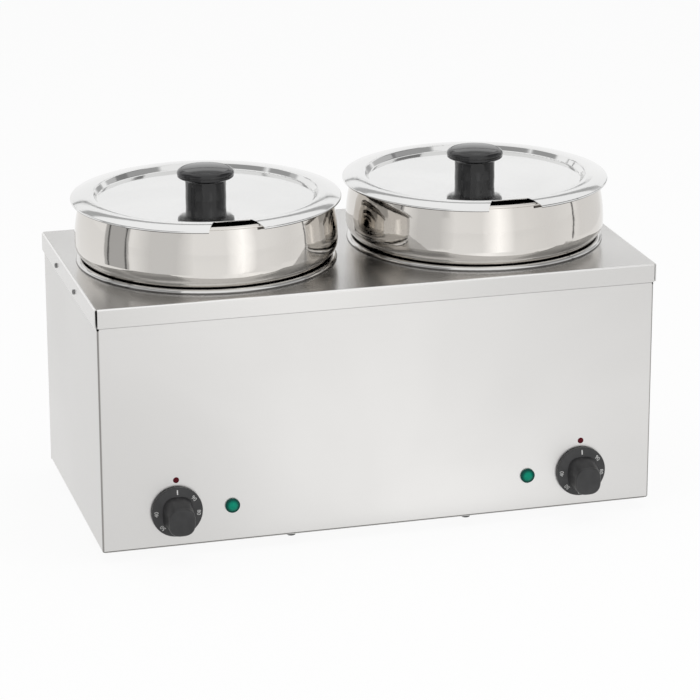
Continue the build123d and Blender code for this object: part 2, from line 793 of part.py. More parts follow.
def cable_gland():
    """Nylon cable gland: a hexagon flange, a domed clamping nut, and a threaded tail inside."""
    flange = extrude(RegularPolygon(gland_across_flats / 2, 6, major_radius=False), gland_flange)
    nut = Pos(0, 0, gland_flange + gland_nut_length / 2) * Cone(
        gland_nut_radius, gland_tip_radius, gland_nut_length)
    tail = rod_z(0, 0, -gland_tail - sheet, gland_flange, gland_thread_radius)
    gland = flange + nut + tail
    tip = gland.edges().filter_by(GeomType.CIRCLE).sort_by(Axis.Z)[-1]
    gland = fillet(tip, gland_tip_edge)
    bore_end = 2 * (gland_flange + gland_nut_length)
    gland -= rod_z(0, 0, -gland_tail - 2 * sheet, bore_end, gland_bore_radius)
    return Pos(gland_x, rear_y, floor_z + gland_height) * Rot(X=-90) * gland


def gland_locknut():
    """Hexagon locknut on the gland's tail, inside the rear panel."""
    nut = hex_nut(gland_across_flats, locknut_thickness, gland_thread_radius + running_clearance)
    return Pos(gland_x, shell_back, floor_z + gland_height) * Rot(X=90) * nut


def terminal_y():
    """Line of the terminal block and the earth stud, in from the rear."""
    return rear_y - terminal_from_rear


def terminal_way_x(i):
    """Middle of one way of the terminal block."""
    return (i - (terminal_ways - 1) / 2) * terminal_length / terminal_ways


def terminal_block():
    """Ceramic terminal block on the floor, with a barrier between its ways."""
    half = terminal_length / 2
    y = terminal_y()
    deep = terminal_width / 2
    top = floor_z + terminal_height
    pocket_half = terminal_length / terminal_ways / 2 - terminal_wall
    block = box_between((-half, y - deep, floor_z), (half, y + deep, top))
    for i in range(terminal_ways):
        x = terminal_way_x(i)
        for near, far in ((-2 * deep, -deep + terminal_pocket), (deep - terminal_pocket, 2 * deep)):
            block -= box_between((x - pocket_half, y + near, floor_z + terminal_sill),
                                 (x + pocket_half, y + far, 2 * top))
        block -= rod_z(x, y, floor_z + terminal_height / 2, 2 * top,
                       terminal_screw_radius + running_clearance)
    return block


def terminal_screws():
    """Clamping screws, one in each way of the terminal block."""
    y = terminal_y()
    low = floor_z + terminal_height / 2
    high = floor_z + terminal_height - terminal_screw_sink
    return [rod_z(terminal_way_x(i), y, low, high, terminal_screw_radius) for i in range(terminal_ways)]


def earth_stud():
    """Earth bolt up through the floor, with its nut."""
    y = terminal_y()
    reach = sheet + 4 * nut_thickness
    bolt = Pos(earth_x, y, plate_z) * Rot(X=180) * pan_screw(
        screw_radius, reach, screw_head_radius, screw_head_height)
    nut = hex_nut(nut_across_flats, nut_thickness, screw_radius)
    return bolt + Pos(earth_x, y, floor_z) * nut


def write(name, shape):
    """Write one piece, or a group of like solids, under its name."""
    solids = shape if isinstance(shape, list) else [shape]
    bodies = [s for item in solids for s in item.solids()]
    piece = bodies[0] if len(bodies) == 1 else Compound(bodies)
    export_step(piece, f"parts/{name}.step")


os.makedirs("parts", exist_ok=True)

write("body_shell", body_shell())
write("rear_panel", rear_panel())
write("bottom_plate", bottom_plate())
write("top_deck", top_deck())
write("deck_screws", deck_screws())
write("rear_panel_screws", rear_panel_screws())
write("bottom_plate_screws", bottom_plate_screws())
write("foot_screws", foot_screws())
write("foot_nuts", foot_nuts())
for foot_name, (foot_x, foot_y) in foot_places().items():
    write(foot_name, Pos(foot_x, foot_y, 0) * foot())
write("cable_gland", cable_gland())
write("gland_locknut", gland_locknut())
write("terminal_block", terminal_block())
write("terminal_screws", terminal_screws())
write("earth_stud", earth_stud())

for name, side in sides.items():
    at_well = Pos(side * well_pitch / 2, well_y, deck_z)
    write(f"water_well_{name}", at_well * water_well())
    write(f"heating_element_{name}", at_well * heating_element())
    write(f"heater_clamp_{name}", at_well * heater_clamp())
    write(f"heater_nut_{name}", at_well * heater_nut())
    write(f"safety_cutout_{name}", at_well * safety_cutout())
    write(f"bulb_clip_{name}", at_well * bulb_clip())
    write(f"thermostat_bulb_{name}", thermostat_bulb(side))
    write(f"inset_pot_{name}", at_well * inset_pot())
    write(f"pot_lid_{name}", at_well * pot_lid())
    write(f"lid_knob_{name}", at_well * lid_knob())
    write(f"lid_screw_{name}", at_well * lid_screw())
    at_knob = Pos(side * knob_x, 0, control_z)
    write(f"thermostat_{name}", at_knob * thermostat(side))
    write(f"thermostat_screws_{name}", [at_knob * screw for screw in thermostat_screws()])
    write(f"thermostat_shaft_{name}", at_knob * thermostat_shaft())
    write(f"control_knob_{name}", at_knob * control_knob())
    at_lamp = Pos(side * lamp_x, 0, control_z)
    write(f"lamp_lens_{name}", at_lamp * lamp_lens())
    write(f"lamp_body_{name}", at_lamp * lamp_body())
    write(f"lamp_clip_{name}", at_lamp * lamp_clip())
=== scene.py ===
import math

import bmesh
import bpy
from mathutils import Matrix, Vector


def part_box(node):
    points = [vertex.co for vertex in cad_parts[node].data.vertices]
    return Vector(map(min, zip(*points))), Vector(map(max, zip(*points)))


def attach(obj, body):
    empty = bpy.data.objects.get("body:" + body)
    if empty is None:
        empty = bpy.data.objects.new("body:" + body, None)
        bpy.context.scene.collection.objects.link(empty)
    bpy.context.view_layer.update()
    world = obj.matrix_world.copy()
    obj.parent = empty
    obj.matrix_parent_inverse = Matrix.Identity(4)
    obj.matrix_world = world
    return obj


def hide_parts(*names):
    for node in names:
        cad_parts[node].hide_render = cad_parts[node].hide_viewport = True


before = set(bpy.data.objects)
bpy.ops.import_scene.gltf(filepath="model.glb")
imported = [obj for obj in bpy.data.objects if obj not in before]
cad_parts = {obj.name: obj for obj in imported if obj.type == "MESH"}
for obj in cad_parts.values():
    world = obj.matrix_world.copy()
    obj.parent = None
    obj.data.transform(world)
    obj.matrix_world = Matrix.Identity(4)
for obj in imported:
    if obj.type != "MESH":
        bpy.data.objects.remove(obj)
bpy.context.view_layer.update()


# Housing: the front and both ends are folded from one stainless sheet, and a flat rear panel and a
# slotted floor are screwed to its lips. Satin rolled sheet, its grain running along the housing.

mm = 0.001


def new_node(tree, kind, feeds=(), **settings):
    """Node with its settings, whose inputs are fed by plain values or by other nodes' outputs."""
    node = tree.nodes.new(kind)
    for setting, choice in settings.items():
        setattr(node, setting, choice)
    for label, source in dict(feeds).items():
        if isinstance(source, bpy.types.NodeSocket):
            tree.links.new(source, node.inputs[label])
        else:
            node.inputs[label].default_value = source
    return node


def shader_group(name, inputs, masks):
    """Empty shader node group with named inputs, each of its kind of socket, that puts out masks."""
    group = bpy.data.node_groups.new(name, "ShaderNodeTree")
    for label, kind in inputs.items():
        group.interface.new_socket(label, in_out="INPUT", socket_type=kind)
    for label in masks:
        group.interface.new_socket(label, in_out="OUTPUT", socket_type="NodeSocketFloat")
    return group, group.nodes.new("NodeGroupInput").outputs, group.nodes.new("NodeGroupOutput").inputs


def own_place(tree):
    """Place on a piece in its own coordinates."""
    return tree.nodes.new("ShaderNodeTexCoord").outputs["Object"]


def components(tree, vector):
    """The three parts of a vector, to be taken by their letters."""
    return new_node(tree, "ShaderNodeSeparateXYZ", {"Vector": vector}).outputs


def maths(tree, operation, first, second=0.0):
    """Outcome of an operation on two values."""
    return new_node(tree, "ShaderNodeMath", {0: first, 1: second}, operation=operation).outputs["Value"]


def faded(tree, value, none, full):
    """Mask that runs softly from nothing at one value to full at another."""
    fade = new_node(tree, "ShaderNodeMapRange", {"Value": value, "From Min": none, "From Max": full},
                    interpolation_type="SMOOTHSTEP")
    return fade.outputs["Result"]


def ranged(tree, mask, low, high):
    """Mask spread between a low and a high value."""
    spread = new_node(tree, "ShaderNodeMapRange", {"Value": mask, "To Min": low, "To Max": high})
    return spread.outputs["Result"]


def rolled_grain_group():
    """Fine lines drawn out along one axis, as rolling and brushing leave them."""
    group, given, result = shader_group("Rolled grain", {"Stretch": "NodeSocketVector"}, ["Grain"])
    drawn = new_node(group, "ShaderNodeVectorMath", {0: own_place(group), 1: given["Stretch"]},
                     operation="MULTIPLY")
    lines = new_node(group, "ShaderNodeTexNoise", {
        "Vector": drawn.outputs["Vector"], "Scale": 1.0, "Detail": 4.0, "Roughness": 0.6})
    group.links.new(lines.outputs["Fac"], result["Grain"])
    return group


def handling_group():
    """Broad soft clouds, as wiping and handling leave on bare metal."""
    group, given, result = shader_group("Handling", {"Scale": "NodeSocketFloat"}, ["Cloud"])
    cloud = new_node(group, "ShaderNodeTexNoise", {
        "Vector": own_place(group), "Scale": given["Scale"], "Detail": 2.5, "Distortion": 0.6})
    spread = new_node(group, "ShaderNodeMapRange", {
        "Value": cloud.outputs["Fac"], "From Min": 0.34, "From Max": 0.66})
    group.links.new(spread.outputs["Result"], result["Cloud"])
    return group


def placed_group(tree, group, values):
    """Outputs of a shared node group, placed in a material with its own input values."""
    return new_node(tree, "ShaderNodeGroup", values, node_tree=group).outputs


def new_material(name, metallic):
    """Material with one Principled shader, whose plain values are set on its own sockets."""
    material = bpy.data.materials.new(name)
    material.use_nodes = True
    shader = material.node_tree.nodes["Principled BSDF"]
    shader.inputs["Metallic"].default_value = metallic
    return material, material.node_tree, shader


def blended_colour(tree, mask, first, second):
    """Colour that runs with a mask from the first, which may be another node's, to the second."""
    start = first if isinstance(first, bpy.types.NodeSocket) else (*first, 1)
    mix = new_node(tree, "ShaderNodeMix", {"Factor": mask, "A": start, "B": (*second, 1)}, data_type="RGBA")
    return mix.outputs["Result"]


def bumped(tree, shader, height, depth, strength):
    """Bump of a height mask on the shader's normal, over any bump that is there already."""
    bump = new_node(tree, "ShaderNodeBump", {"Height": height, "Distance": depth, "Strength": strength})
    for earlier in shader.inputs["Normal"].links:
        tree.links.new(earlier.from_socket, bump.inputs["Normal"])
    tree.links.new(bump.outputs["Normal"], shader.inputs["Normal"])


rolled_grain = rolled_grain_group()
handling = handling_group()


def textured(name, metallic, colours, cloud_scale, texture, texture_values, rough, depth, strength):
    """Material of clouded colour, whose fine texture shows in its gloss and stands in its surface."""
    material, tree, shader = new_material(name, metallic)
    cloud = placed_group(tree, handling, {"Scale": cloud_scale})["Cloud"]
    fine = placed_group(tree, texture, texture_values)[0]
    tree.links.new(blended_colour(tree, cloud, *colours), shader.inputs["Base Color"])
    tree.links.new(ranged(tree, fine, *rough), shader.inputs["Roughness"])
    bumped(tree, shader, fine, depth, strength)
    return material, tree, shader


def rolled_steel(name, light, dark, rough, stretch, depth):
    """Rolled stainless sheet: clouded colour, grain in the gloss and in the surface."""
    material, tree, shader = textured(
        name, metallic=1.0, colours=(dark, light), cloud_scale=5.0, texture=rolled_grain,
        texture_values={"Stretch": stretch}, rough=rough, depth=depth, strength=0.35)
    return material


def stained(material, mask, colour):
    """Lay another colour over a material's own where a mask is full."""
    tree = material.node_tree
    painted = tree.nodes["Principled BSDF"].inputs["Base Color"]
    tree.links.new(blended_colour(tree, mask, painted.links[0].from_socket, colour), painted)


# Each fade of the housing's painted shade says where its mask starts and where it is full: the fold's in
# bend radii from the corner, the others in distances below the skirt, above the casing's lower edge and
# behind its front.
fold_shade_fade = (0.86, 0.66)
skirt_shade_fade = (1.7 * mm, 0.3 * mm)
foot_shade_fade = (2.0 * mm, 1.1 * mm)
front_fade = (3.0 * mm, 2.0 * mm)


def fold_group():
    """Masks of painted shade: down the front folds, under the skirt and along the front's lower bend."""
    lengths = ("Half Width", "Front", "Bend", "Skirt", "Foot")
    group, given, result = shader_group(
        "Folds", dict.fromkeys(lengths, "NodeSocketFloat"), ["Fold", "Band Shade"])
    place = components(group, own_place(group))
    from_end = maths(group, "SUBTRACT", given["Half Width"], maths(group, "ABSOLUTE", place["X"]))
    from_front = maths(group, "SUBTRACT", place["Y"], given["Front"])
    from_corner = maths(group, "DIVIDE", maths(group, "ADD", from_end, from_front), given["Bend"])
    under_skirt = maths(group, "SUBTRACT", given["Skirt"], place["Z"])
    over_foot = maths(group, "SUBTRACT", place["Z"], given["Foot"])
    foot_shade = maths(group, "MULTIPLY", faded(group, over_foot, *foot_shade_fade),
                       faded(group, from_front, *front_fade))
    band_shade = maths(group, "MAXIMUM", faded(group, under_skirt, *skirt_shade_fade), foot_shade)
    group.links.new(faded(group, from_corner, *fold_shade_fade), result["Fold"])
    group.links.new(band_shade, result["Band Shade"])
    return group


def coat(mesh, material):
    """Give a mesh one material in place of any that it has."""
    mesh.materials.clear()
    mesh.materials.append(material)


def dress(material, *names):
    """Give CAD nodes a finished material in place of their plain one."""
    for name in names:
        coat(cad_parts[name].data, material)


satin = {"light": (0.715, 0.707, 0.695), "dark": (0.675, 0.667, 0.655), "rough": (0.30, 0.40),
         "stretch": (9, 1500, 1500), "depth": 0.02 * mm}
# Painted shade: a dark line down each front fold, and darker bands under the skirt and on the front's lower
# bend.
fold_shade_colour = (0.30, 0.29, 0.28)
band_shade_colour = (0.10, 0.095, 0.09)
bend_radius = 2.2 * mm
satin_sheet = rolled_steel("satin_sheet", **satin)
folded_sheet = rolled_steel("folded_sheet", **satin)
low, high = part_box("body_shell")
housing_shade = placed_group(folded_sheet.node_tree, fold_group(), {
    "Half Width": high.x, "Front": low.y, "Bend": bend_radius, "Skirt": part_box("top_deck")[0].z,
    "Foot": low.z})
stained(folded_sheet, housing_shade["Fold"], fold_shade_colour)
stained(folded_sheet, housing_shade["Band Shade"], band_shade_colour)
dress(folded_sheet, "body_shell")
dress(satin_sheet, "rear_panel", "bottom_plate")


# Feet: four tapered mouldings of black rubber, each held to the floor plate by a screw up its middle
# and a nut inside. The moulded skin is matt, with paler clouds of dust.

def speckle_group():
    """Fine even speckle of a moulded or cast skin."""
    group, given, result = shader_group("Moulded skin", {"Scale": "NodeSocketFloat"}, ["Speckle"])
    skin = new_node(group, "ShaderNodeTexNoise", {
        "Vector": own_place(group), "Scale": given["Scale"], "Detail": 3.0, "Roughness": 0.65})
    group.links.new(skin.outputs["Fac"], result["Speckle"])
    return group


moulded_skin = speckle_group()


def moulding(name, dark, pale, rough, grain, depth, gloss=0.5):
    """Moulded rubber or plastic: clouded colour, speckled gloss and a fine skin."""
    material, tree, shader = textured(
        name, metallic=0.0, colours=(dark, pale), cloud_scale=55.0, texture=moulded_skin,
        texture_values={"Scale": grain}, rough=rough, depth=depth, strength=0.4)
    shader.inputs["Specular IOR Level"].default_value = gloss
    return material


sides = ("left", "right")
foot_rubber = moulding(
    "foot_rubber", dark=(0.022, 0.022, 0.022), pale=(0.045, 0.044, 0.042), rough=(0.62, 0.85),
    grain=1400.0, depth=0.05 * mm)
dress(foot_rubber, *(f"foot_{row}_{side}" for row in ("front", "rear") for side in sides))


# Top deck: one sheet folded down all round, with its corners cut away and left open. It is polished
# brighter than the housing, so it mirrors the wells and pots that stand on it.

def facing_mask(tree, none, full):
    """Mask by how far a face looks up: 1 is level, 0 upright, -1 an underside."""
    facing = tree.nodes.new("ShaderNodeTexCoord").outputs["Normal"]
    return faded(tree, components(tree, facing)["Z"], none, full)


# Painted shade: the deck's upright skirts are given a flat colour, darker than its top, by how they face.
skirt_shade_colour = (0.655, 0.647, 0.635)
skirt_facing = (0.75, 0.25)
# Painted highlight: the bend between the deck's top and its skirts is given a pale colour.
bend_highlight_colour = (0.86, 0.853, 0.842)
bend_lower_facing = (0.25, 0.5)
bend_upper_facing = (0.98, 0.88)
bright_deck = rolled_steel(
    "bright_deck", light=(0.71, 0.702, 0.69), dark=(0.63, 0.622, 0.61), rough=(0.18, 0.28),
    stretch=(7, 1300, 1300), depth=0.008 * mm)
deck_tree = bright_deck.node_tree
stained(bright_deck, facing_mask(deck_tree, *skirt_facing), skirt_shade_colour)
bend_highlight = maths(deck_tree, "MULTIPLY", facing_mask(deck_tree, *bend_lower_facing),
                  facing_mask(deck_tree, *bend_upper_facing))
stained(bright_deck, bend_highlight, bend_highlight_colour)
dress(bright_deck, "top_deck")


# Screws: pan heads with a cross recess. Four small ones hold the deck's end skirts, six bright zinc ones
# the rear panel and eight larger ones the floor plate; those on the skirts and the floor plate are darkened
# as painted shade. The screws and nuts of the feet keep their plain shape.

def finished_mesh(name, form):
    """Mesh of a form that has been built up, with its faces turned outwards."""
    bmesh.ops.recalc_face_normals(form, faces=form.faces)
    mesh = bpy.data.meshes.new(name)
    form.to_mesh(mesh)
    form.free()
    return mesh


def skinned(form, loops):
    """Faces from each loop of points to the next, where a loop of one point is a pole."""
    for lower, upper in zip(loops, loops[1:]):
        count = max(len(lower), len(upper))
        for i in range(count):
            j = (i + 1) % count
            corners = [lower[i % len(lower)], lower[j % len(lower)],
                       upper[j % len(upper)], upper[i % len(upper)]]
            form.faces.new(list(dict.fromkeys(corners)))


def spun_mesh(name, section, segments):
    """Closed mesh turned about Z from a section of radius and height that starts and ends on the axis."""
    form = bmesh.new()
    angles = [2 * math.pi * i / segments for i in range(segments)]
    rings = []
    for radius, height in section:
        if radius == 0:
            rings.append([form.verts.new((0, 0, height))])
        else:
            rings.append([form.verts.new((radius * math.cos(a), radius * math.sin(a), height))
                          for a in angles])
    skinned(form, rings)
    return finished_mesh(name, form)


def rounded_edge(radius, height, bend, steps):
    """Points of a section's quarter-round edge, from its side at a radius to its top at a height."""
    points = []
    for step in range(steps + 1):
        angle = math.radians(90 / steps * step)
        points.append((radius - bend * (1 - math.cos(angle)), height - bend * (1 - math.sin(angle))))
    return points


def middle(low, high):
    """Middle of a box that is given by its lowest and highest corners."""
    return [(a + b) / 2 for a, b in zip(low, high)]


def block_mesh(name, low, high):
    """Plain block between its lowest and highest corners."""
    form = bmesh.new()
    size = [b - a for a, b in zip(low, high)]
    bmesh.ops.create_cube(
        form, size=1.0, matrix=Matrix.Translation(middle(low, high)) @ Matrix.Diagonal((*size, 1)))
    return finished_mesh(name, form)


def linked(name, content):
    """Object for a mesh, text, lamp or camera, at the origin of the scene."""
    piece = bpy.data.objects.new(name, content)
    bpy.context.scene.collection.objects.link(piece)
    return piece


def evaluated_mesh(piece):
    """Plain mesh of a piece as its modifiers or its text make it."""
    graph = bpy.context.evaluated_depsgraph_get()
    return bpy.data.meshes.new_from_object(piece.evaluated_get(graph))


sharp_angle = math.radians(32)


def flattened(piece):
    """Turn a piece and its modifiers into one plain mesh, smooth but for its hard edges."""
    mesh = evaluated_mesh(piece)
    piece.modifiers.clear()
    piece.data = mesh
    mesh.shade_smooth()
    mesh.set_sharp_from_angle(angle=sharp_angle)
    return piece


def cut(piece, tool, operation="DIFFERENCE"):
    """Take one closed shape out of another, or join it on, and drop the tool."""
    boolean = piece.modifiers.new("cut", "BOOLEAN")
    boolean.object = tool
    boolean.operation = operation
    boolean.solver = "EXACT"
    flattened(piece)
    bpy.data.objects.remove(tool)


head_radius = 3.7 * mm
head_height = 2.4 * mm
head_crown = head_height * 0.45
head_crown_steps = 6
head_segments = 28
shank_radius = 2.0 * mm
shank_length = 7.0 * mm
recess_length = 4.2 * mm
recess_width = 0.95 * mm
recess_depth = 1.5 * mm


def pan_head():
    """One screw pointing down, its head standing on the origin's plane, with a cross recess."""
    section = [(0, -shank_length), (shank_radius, -shank_length), (shank_radius, 0), (head_radius, 0),
               *rounded_edge(head_radius, head_height, head_crown, head_crown_steps), (0, head_height)]
    screw = linked("pan_head", spun_mesh("pan_head", section, head_segments))
    for along, across in ((recess_length, recess_width), (recess_width, recess_length)):
        arm = block_mesh("recess", (-along / 2, -across / 2, head_height - recess_depth),
                         (along / 2, across / 2, 2 * head_height))
        cut(screw, linked("recess", arm))
    return screw


def screw_tree():
    """Geometry nodes that set a screw on each point, turned to its facing and by a chance angle."""
    tree = bpy.data.node_groups.new("Screws in place", "GeometryNodeTree")
    for label, kind in (("Geometry", "NodeSocketGeometry"), ("Screw", "NodeSocketObject"),
                        ("Size", "NodeSocketFloat"), ("Seed", "NodeSocketInt"),
                        ("Plating", "NodeSocketMaterial")):
        tree.interface.new_socket(label, in_out="INPUT", socket_type=kind)
    tree.interface.new_socket("Geometry", in_out="OUTPUT", socket_type="NodeSocketGeometry")
    given = tree.nodes.new("NodeGroupInput").outputs
    screw = new_node(tree, "GeometryNodeObjectInfo", {"Object": given["Screw"]})
    facing = new_node(tree, "GeometryNodeInputNamedAttribute", {"Name": "facing"}, data_type="FLOAT_VECTOR")
    aim = new_node(tree, "FunctionNodeAlignRotationToVector", {"Vector": facing.outputs["Attribute"]},
                   axis="Z")
    # A random node has a socket of the same name for each kind of value: these are the plain number's.
    highest = 3
    drawn = 1
    chance = new_node(tree, "FunctionNodeRandomValue", {highest: 2 * math.pi, "Seed": given["Seed"]},
                      data_type="FLOAT")
    spin = new_node(tree, "FunctionNodeAxisAngleToRotation", {"Angle": chance.outputs[drawn]})
    turned = new_node(tree, "FunctionNodeRotateRotation", {
        "Rotation": aim.outputs["Rotation"], "Rotate By": spin.outputs["Rotation"]}, rotation_space="LOCAL")
    points = new_node(tree, "GeometryNodeMeshToPoints", {"Mesh": given["Geometry"]})
    scatter = new_node(tree, "GeometryNodeInstanceOnPoints", {
        "Points": points.outputs["Points"], "Instance": screw.outputs["Geometry"],
        "Rotation": turned.outputs["Rotation"], "Scale": given["Size"]})
    solid = new_node(tree, "GeometryNodeRealizeInstances", {"Geometry": scatter.outputs["Instances"]})
    plated = new_node(tree, "GeometryNodeSetMaterial", {
        "Geometry": solid.outputs["Geometry"], "Material": given["Plating"]})
    new_node(tree, "NodeGroupOutput", {"Geometry": plated.outputs["Geometry"]})
    return tree


def fitting_metal(name, light, dark, rough):
    """Plated or bare small metal parts: clouded colour and a fine drawn surface."""
    material, tree, shader = textured(
        name, metallic=1.0, colours=(dark, light), cloud_scale=160.0, texture=moulded_skin,
        texture_values={"Scale": 1600.0}, rough=rough, depth=0.01 * mm, strength=0.3)
    return material


zinc = fitting_metal(
    "zinc_plating", light=(0.66, 0.66, 0.64), dark=(0.52, 0.52, 0.50), rough=(0.24, 0.42))
# Painted shade: darker copies of the zinc plating, for the screws on the deck's skirts and under the floor
# plate.
shaded_zinc = fitting_metal(
    "shaded_zinc", light=(0.30, 0.30, 0.30), dark=(0.20, 0.20, 0.20), rough=(0.3, 0.45))
deep_shaded_zinc = fitting_metal(
    "deep_shaded_zinc", light=(0.11, 0.11, 0.11), dark=(0.06, 0.06, 0.06), rough=(0.5, 0.65))
dress(zinc, "foot_screws", "foot_nuts")
screw_form = pan_head()
screws_in_place = screw_tree()


def set_screws(name, places, seed, plating, size=1.0):
    """Screws at the given places, each a point and the way its head faces, in place of a CAD group."""
    mesh = bpy.data.meshes.new(name)
    mesh.from_pydata([point for point, way in places], [], [])
    facing = mesh.attributes.new("facing", "FLOAT_VECTOR", "POINT")
    for entry, (point, way) in zip(facing.data, places):
        entry.vector = way
    group = linked(f"{name}_heads", mesh)
    modifier = group.modifiers.new("screws", "NODES")
    modifier.node_group = screws_in_place
    values = {"Screw": screw_form, "Size": size, "Seed": seed, "Plating": plating}
    for socket in screws_in_place.interface.items_tree:
        if socket.in_out == "INPUT" and socket.name in values:
            modifier[socket.identifier] = values[socket.name]
    flattened(group)
    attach(group, "housing")
    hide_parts(name)


deck_head_size = 0.64
low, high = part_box("deck_screws")
deck_rows = (low.y + head_radius, high.y - head_radius)
skirt_level = middle(low, high)[2]
skirt_half = high.x - head_height
set_screws(
    "deck_screws",
    [((way * skirt_half, y, skirt_level), (way, 0, 0)) for way in (-1, 1) for y in deck_rows],
    seed=3, plating=shaded_zinc, size=deck_head_size)

low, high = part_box("rear_panel_screws")
panel_back = high.y - head_height
rear_half = high.x - head_radius
rear_levels = (low.z + head_radius, middle(low, high)[2], high.z - head_radius)
set_screws(
    "rear_panel_screws",
    [((way * rear_half, panel_back, z), (0, 1, 0)) for way in (-1, 1) for z in rear_levels],
    seed=5, plating=zinc)

plate_head_size = 1.25
edge_screw_x = 86 * mm
side_screw_reach = 75 * mm
low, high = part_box("bottom_plate_screws")
plate_under = low.z + head_height
plate_half = high.x - head_radius
plate_middle = middle(low, high)[1]
plate_rows = (low.y + head_radius, high.y - head_radius)
plate_places = [(way * edge_screw_x, y) for way in (-1, 1) for y in plate_rows]
plate_places += [(way * plate_half, plate_middle + step * side_screw_reach)
                 for way in (-1, 1) for step in (-1, 1)]
set_screws(
    "bottom_plate_screws", [((x, y, plate_under), (0, 0, -1)) for x, y in plate_places],
    seed=7, plating=deep_shaded_zinc, size=plate_head_size)
bpy.data.objects.remove(screw_form)


# Water wells: deep-drawn stainless, with a half-round bead that stands on the deck and carries the
# pot's shoulder. Drawn and polished round its axis, so its fine marks are rings.

def axis_distance(tree, from_axis, across):
    """Distance of a place from an axis, taken along the directions that lie across it."""
    flat = new_node(tree, "ShaderNodeVectorMath", {0: from_axis, 1: across}, operation="MULTIPLY")
    reach = new_node(tree, "ShaderNodeVectorMath", {0: flat.outputs["Vector"]}, operation="LENGTH")
    return reach.outputs["Value"]


def spun_rings_group():
    """Rings round an upright axis, as spinning and polishing on a lathe leave them."""
    group, given, result = shader_group(
        "Spun rings", {"Centre": "NodeSocketVector", "Rings": "NodeSocketFloat"}, ["Ring"])
    from_axis = new_node(group, "ShaderNodeVectorMath", {0: own_place(group), 1: given["Centre"]},
                         operation="SUBTRACT").outputs["Vector"]
    reach = axis_distance(group, from_axis, across=(1, 1, 0))
    along = maths(group, "ADD", reach, components(group, from_axis)["Z"])
    rings = new_node(group, "ShaderNodeTexNoise", {
        "W": maths(group, "MULTIPLY", along, given["Rings"]), "Scale": 1.0, "Detail": 3.0},
        noise_dimensions="1D")
    group.links.new(rings.outputs["Fac"], result["Ring"])
    return group


spun_rings = spun_rings_group()


def spun_steel(name, node, light, dark, rough, rings, depth, wave):
    """Stainless turned on a lathe: rings round the node's axis under a clouded, slightly wavy polish."""
    x, y, z = middle(*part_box(node))
    material, tree, shader = textured(
        name, metallic=1.0, colours=(dark, light), cloud_scale=9.0, texture=spun_rings,
        texture_values={"Centre": (x, y, 0), "Rings": rings}, rough=rough, depth=depth, strength=0.3)
    waves = placed_group(tree, handling, {"Scale": 24.0})["Cloud"]
    bumped(tree, shader, waves, depth=wave, strength=1.0)
    return material


def band_mask(tree, low, high, soft):
    """Mask of a level band between two heights, with soft borders."""
    level = components(tree, own_place(tree))["Z"]
    from_below = faded(tree, level, low - soft, low)
    from_above = faded(tree, level, high + soft, high)
    return maths(tree, "MULTIPLY", from_below, from_above)


deck_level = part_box("top_deck")[1].z
# Painted shade: a dark band round the foot of each well's bead, where it meets the deck.
seam_shade_colour = (0.13, 0.125, 0.12)
seam_below = 0.5 * mm
seam_above = 0.9 * mm
seam_soft = 0.6 * mm
for side in sides:
    drawn_well = spun_steel(
        f"drawn_well_{side}", f"water_well_{side}", light=(0.70, 0.693, 0.682), dark=(0.64, 0.633, 0.622),
        rough=(0.05, 0.10), rings=900.0, depth=0.004 * mm, wave=0.02 * mm)
    seam_shade = band_mask(drawn_well.node_tree, deck_level - seam_below, deck_level + seam_above, seam_soft)
    stained(drawn_well, seam_shade, seam_shade_colour)
    dress(drawn_well, f"water_well_{side}")


# Heaters: a sheathed tubular ring under each well, pressed up by a galvanised plate and a nut on the
# well's stud, with a bimetal cutout and the thermostat's bulb clipped to the plate.

oxide_sheath = fitting_metal(
    "oxide_sheath", light=(0.24, 0.22, 0.20), dark=(0.13, 0.12, 0.115), rough=(0.45, 0.65))
galvanised = fitting_metal(
    "galvanised_plate", light=(0.60, 0.61, 0.62), dark=(0.44, 0.45, 0.46), rough=(0.35, 0.55))
bare_copper = fitting_metal(
    "bare_copper", light=(0.80, 0.44, 0.30), dark=(0.55, 0.27, 0.17), rough=(0.22, 0.40))
brown_phenolic = moulding(
    "brown_phenolic", dark=(0.075, 0.040, 0.024), pale=(0.115, 0.066, 0.042), rough=(0.38, 0.55),
    grain=1100.0, depth=0.03 * mm)
for side in sides:
    dress(oxide_sheath, f"heating_element_{side}")
    dress(galvanised, f"heater_clamp_{side}", f"bulb_clip_{side}")
    dress(zinc, f"heater_nut_{side}")
    dress(bare_copper, f"thermostat_bulb_{side}")
    dress(brown_phenolic, f"safety_cutout_{side}")


# Thermostats: phenolic cases screwed behind the front panel, each with a plated spindle that
# reaches through the panel into its knob.

for side in sides:
    dress(brown_phenolic, f"thermostat_{side}")
    dress(zinc, f"thermostat_screws_{side}", f"thermostat_shaft_{side}")


# Control knobs: black phenolic mouldings with a numbered skirt and a broad waisted bar to grip, bored for
# the thermostat spindles they push on to. The numbers are printed white, with a stroke at the off position.

black_phenolic = moulding(
    "black_phenolic", dark=(0.016, 0.016, 0.017), pale=(0.027, 0.027, 0.028), rough=(0.30, 0.42),
    grain=1300.0, depth=0.02 * mm)
dial_ink = moulding(
    "dial_ink", dark=(0.55, 0.55, 0.54), pale=(0.72, 0.72, 0.71), rough=(0.45, 0.6),
    grain=2400.0, depth=0.005 * mm)
dial_rim_height = 3.0 * mm
dial_cone_height = 2.0 * mm
dial_cone_inner = 15.0 * mm
dial_number_radius = 19.9 * mm
dial_number_size = 5.4 * mm
dial_number_curves = 4
dial_ink_thickness = 0.05 * mm
dial_first_angle = -90.0
dial_number_step = -43.8
dial_numbers = (40, 50, 60, 70, 80, 90)
stroke_half_width = 0.55 * mm
stroke_half_length = 2.2 * mm
knob_segments = 96
knob_rim_round = 1.0 * mm
knob_rim_steps = 5
knob_hub_radius = 6.5 * mm
knob_hollow_radius = 21.0 * mm
knob_hollow_depth = 2.2 * mm
